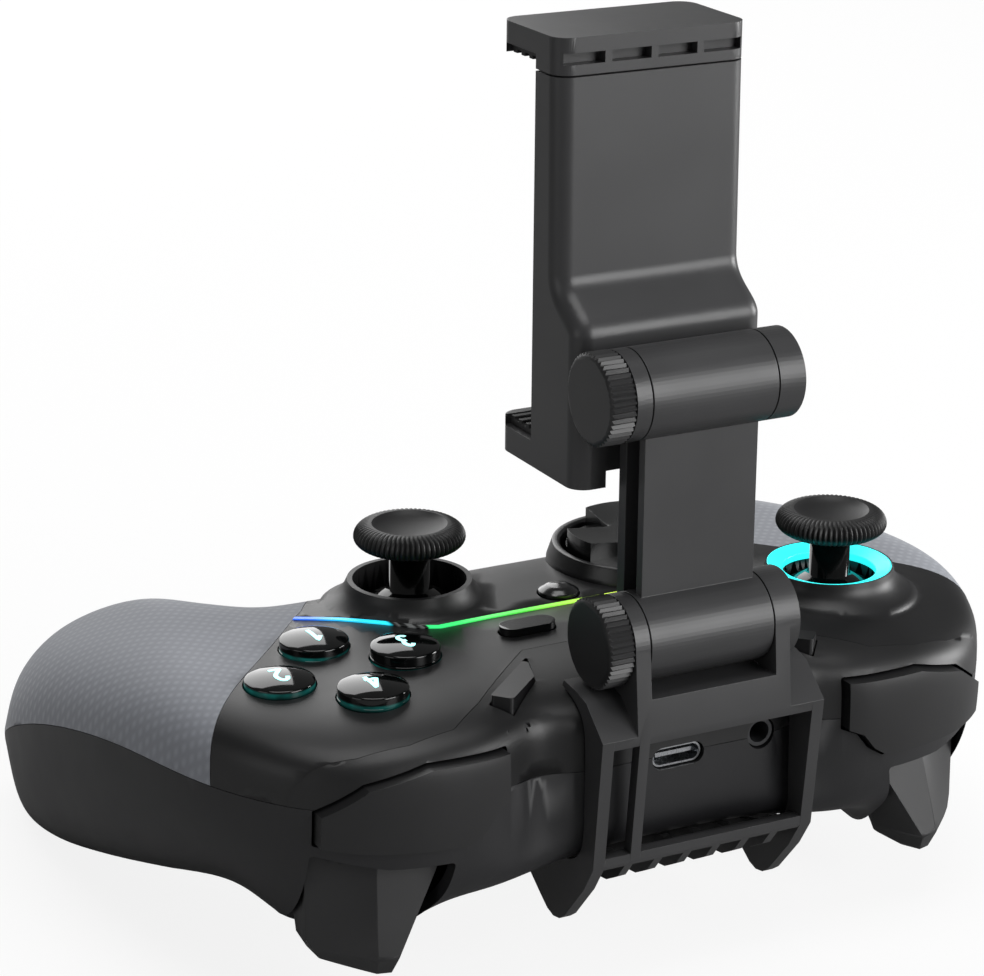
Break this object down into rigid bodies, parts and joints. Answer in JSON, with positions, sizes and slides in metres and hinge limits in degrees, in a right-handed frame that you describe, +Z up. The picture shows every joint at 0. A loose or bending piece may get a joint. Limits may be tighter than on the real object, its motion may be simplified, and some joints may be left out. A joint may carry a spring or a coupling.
{
  "type": "gamepad with phone clip",
  "caption": "Wireless gamepad with two thumb sticks, direction pad, face buttons, bumpers and triggers, and a folding sprung phone clip on a hinged bracket.",
  "frame": {"origin": "middle of the whole plan at the height of the lowest point, the underside of the handles", "axes": "+X to the player's right, +Y away from the player towards the triggers, +Z up out of the face"},
  "size_m": [0.1576, 0.1194, 0.1496],
  "materials": {
    "black_shell": "fine matte moulded ABS",
    "dark_shell": "satin moulded ABS, a little lighter",
    "grip_skin": "soft bluish grey skin with a fine twill texture",
    "trigger_black": "satin gloss moulded ABS",
    "clip_black": "satin moulded ABS",
    "rubber_black": "matt moulded rubber",
    "gloss_black": "polished black plastic",
    "clear_button": "clear gloss over black with a lit numeral",
    "cyan_light": "lit translucent ring",
    "green_light": "lit translucent strip, blue through green to yellow",
    "grey_silicone": "matt silicone",
    "steel": "plain steel",
    "board_green": "solder-masked glass-fibre board",
    "grey_plastic": "plain moulded plastic",
    "cell_wrap": "shrink-wrapped battery cell"
  },
  "bodies": {
    "pad": {"light_ring_left": "cyan_light", "dpad_ring": "black_shell", "light_strip": "green_light", "trigger_pins": "steel", "trigger_springs": "steel", "main_board": "board_green", "inner_frame": "grey_plastic", "battery": "cell_wrap", "usb_port": "steel", "headset_jack": "grey_plastic", "button_pad": "grey_silicone", "middle_pad": "grey_silicone", "corner_switches": "grey_plastic", "dpad_pad": "grey_silicone", "stick_module_right": "grey_plastic", "stick_module_left": "grey_plastic", "rumble_motor_right": "steel", "case_screws": "steel", "top_shell": "black_shell", "shoulder_frame": "black_shell", "bottom_shell": "dark_shell", "grip_cover_right": "grip_skin", "lower_bolt": "steel", "bracket": "clip_black", "grip_cover_left": "grip_skin", "rumble_motor_left": "steel"},
    "clip_arm": {"arm": "clip_black"},
    "clip": {"clip_body": "clip_black", "upper_bolt": "steel", "lower_jaw_pad": "rubber_black", "clip_spring": "steel"},
    "clip_slider": {"clip_slider": "clip_black", "upper_jaw_pad": "rubber_black"},
    "lower_knob": {"lower_knob": "clip_black"},
    "upper_knob": {"upper_knob": "clip_black"},
    "dpad_rocker": {"dpad_rocker": "grey_plastic"},
    "dpad": {"dpad": "black_shell"},
    "face_button_1": {"face_button_1": "clear_button"},
    "face_button_2": {"face_button_2": "clear_button"},
    "face_button_3": {"face_button_3": "clear_button"},
    "face_button_4": {"face_button_4": "clear_button"},
    "home_button": {"home_button": "black_shell"},
    "menu_button_right": {"menu_button_right": "black_shell"},
    "corner_button_right": {"corner_button_right": "black_shell"},
    "bumper_right": {"bumper_right": "black_shell"},
    "trigger_right": {"trigger_right": "trigger_black"},
    "rumble_weight_right": {"rumble_weight_right": "steel"},
    "stick_carrier_right": {"stick_carrier_right": "grey_plastic"},
    "stick_gimbal_right": {"stick_gimbal_right": "grey_plastic"},
    "stick_right": {"stick_right": "gloss_black", "stick_cap_right": "rubber_black"},
    "menu_button_left": {"menu_button_left": "black_shell"},
    "corner_button_left": {"corner_button_left": "black_shell"},
    "bumper_left": {"bumper_left": "black_shell"},
    "trigger_left": {"trigger_left": "trigger_black"},
    "rumble_weight_left": {"rumble_weight_left": "steel"},
    "stick_carrier_left": {"stick_carrier_left": "grey_plastic"},
    "stick_gimbal_left": {"stick_gimbal_left": "grey_plastic"},
    "stick_left": {"stick_left": "gloss_black", "stick_cap_left": "rubber_black"}
  },
  "joints": [
    {"name": "bumper_press_right", "type": "hinge", "parent": "pad", "child": "bumper_right", "pos_m": [0.0275, 0.04656, 0.03843], "axis": [0, 0, -1], "range_deg": [0, 1.6], "stiffness_Nm_per_rad": 0.8, "springref_deg": -1.15},
    {"name": "trigger_pull_right", "type": "hinge", "parent": "pad", "child": "trigger_right", "pos_m": [0.0515, 0.03896, 0.02933], "axis": [-1, 0, 0], "range_deg": [0, 14], "stiffness_Nm_per_rad": 0.1, "springref_deg": -14.32},
    {"name": "menu_press_right", "type": "slide", "parent": "pad", "child": "menu_button_right", "axis": [0, 0, -1], "range_m": [0, 0.0006], "stiffness_N_per_m": 800, "springref_m": -0.0005},
    {"name": "corner_press_right", "type": "slide", "parent": "pad", "child": "corner_button_right", "axis": [0, 0, -1], "range_m": [0, 0.0006], "stiffness_N_per_m": 800, "springref_m": -0.0005},
    {"name": "rumble_spin_right", "type": "hinge", "parent": "pad", "child": "rumble_weight_right", "pos_m": [0.0636, -0.02484, 0.01953], "axis": [0, 1, 0], "continuous": true},
    {"name": "stick_click_right", "type": "slide", "parent": "pad", "child": "stick_carrier_right", "axis": [0, 0, -1], "range_m": [0, 0.0005], "stiffness_N_per_m": 4000, "springref_m": -0.0005},
    {"name": "stick_fore_right", "type": "hinge", "parent": "stick_carrier_right", "child": "stick_gimbal_right", "pos_m": [0.0219, 0.00246, 0.04123], "axis": [-1, 0, 0], "range_deg": [-13, 13], "stiffness_Nm_per_rad": 0.08},
    {"name": "stick_side_right", "type": "hinge", "parent": "stick_gimbal_right", "child": "stick_right", "pos_m": [0.0219, 0.00246, 0.04123], "axis": [0, 1, 0], "range_deg": [-13, 13], "stiffness_Nm_per_rad": 0.08},
    {"name": "bumper_press_left", "type": "hinge", "parent": "pad", "child": "bumper_left", "pos_m": [-0.0275, 0.04656, 0.03843], "axis": [0, 0, 1], "range_deg": [0, 1.6], "stiffness_Nm_per_rad": 0.8, "springref_deg": -1.15},
    {"name": "trigger_pull_left", "type": "hinge", "parent": "pad", "child": "trigger_left", "pos_m": [-0.0515, 0.03896, 0.02933], "axis": [-1, 0, 0], "range_deg": [0, 14], "stiffness_Nm_per_rad": 0.1, "springref_deg": -14.32},
    {"name": "menu_press_left", "type": "slide", "parent": "pad", "child": "menu_button_left", "axis": [0, 0, -1], "range_m": [0, 0.0006], "stiffness_N_per_m": 800, "springref_m": -0.0005},
    {"name": "corner_press_left", "type": "slide", "parent": "pad", "child": "corner_button_left", "axis": [0, 0, -1], "range_m": [0, 0.0006], "stiffness_N_per_m": 800, "springref_m": -0.0005},
    {"name": "rumble_spin_left", "type": "hinge", "parent": "pad", "child": "rumble_weight_left", "pos_m": [-0.0636, -0.02484, 0.01953], "axis": [0, 1, 0], "continuous": true},
    {"name": "stick_click_left", "type": "slide", "parent": "pad", "child": "stick_carrier_left", "axis": [0, 0, -1], "range_m": [0, 0.0005], "stiffness_N_per_m": 4000, "springref_m": -0.0005},
    {"name": "stick_fore_left", "type": "hinge", "parent": "stick_carrier_left", "child": "stick_gimbal_left", "pos_m": [-0.0449, 0.02746, 0.04123], "axis": [-1, 0, 0], "range_deg": [-13, 13], "stiffness_Nm_per_rad": 0.08},
    {"name": "stick_side_left", "type": "hinge", "parent": "stick_gimbal_left", "child": "stick_left", "pos_m": [-0.0449, 0.02746, 0.04123], "axis": [0, 1, 0], "range_deg": [-13, 13], "stiffness_Nm_per_rad": 0.08},
    {"name": "face_press_1", "type": "slide", "parent": "pad", "child": "face_button_1", "axis": [0, 0, -1], "range_m": [0, 0.0013], "stiffness_N_per_m": 400, "springref_m": -0.001},
    {"name": "face_press_2", "type": "slide", "parent": "pad", "child": "face_button_2", "axis": [0, 0, -1], "range_m": [0, 0.0013], "stiffness_N_per_m": 400, "springref_m": -0.001},
    {"name": "face_press_3", "type": "slide", "parent": "pad", "child": "face_button_3", "axis": [0, 0, -1], "range_m": [0, 0.0013], "stiffness_N_per_m": 400, "springref_m": -0.001},
    {"name": "face_press_4", "type": "slide", "parent": "pad", "child": "face_button_4", "axis": [0, 0, -1], "range_m": [0, 0.0013], "stiffness_N_per_m": 400, "springref_m": -0.001},
    {"name": "home_press", "type": "slide", "parent": "pad", "child": "home_button", "axis": [0, 0, -1], "range_m": [0, 0.0006], "stiffness_N_per_m": 800, "springref_m": -0.0005},
    {"name": "dpad_fore", "type": "hinge", "parent": "pad", "child": "dpad_rocker", "pos_m": [-0.0223, 0.00296, 0.04718], "axis": [-1, 0, 0], "range_deg": [-5, 5], "stiffness_Nm_per_rad": 0.5},
    {"name": "dpad_side", "type": "hinge", "parent": "dpad_rocker", "child": "dpad", "pos_m": [-0.0223, 0.00296, 0.04718], "axis": [0, 1, 0], "range_deg": [-5, 5], "stiffness_Nm_per_rad": 0.5},
    {"name": "arm_fold", "type": "hinge", "parent": "pad", "child": "clip_arm", "pos_m": [-0.0032, 0.05116, 0.05793], "axis": [-1, 0, 0], "range_deg": [-15, 90]},
    {"name": "clip_tilt", "type": "hinge", "parent": "clip_arm", "child": "clip", "pos_m": [-0.0032, 0.04996, 0.09723], "axis": [-1, 0, 0], "range_deg": [-20, 45]},
    {"name": "clip_open", "type": "slide", "parent": "clip", "child": "clip_slider", "axis": [0, 0, 1], "range_m": [0, 0.027], "stiffness_N_per_m": 60, "springref_m": -0.02, "deforming": ["clip_spring"]},
    {"name": "lower_knob_turn", "type": "hinge", "parent": "pad", "child": "lower_knob", "pos_m": [0.01073, 0.05116, 0.05793], "axis": [1, 0, 0], "continuous": true},
    {"name": "upper_knob_turn", "type": "hinge", "parent": "clip", "child": "upper_knob", "pos_m": [0.01073, 0.04996, 0.09723], "axis": [1, 0, 0], "continuous": true}
  ]
}
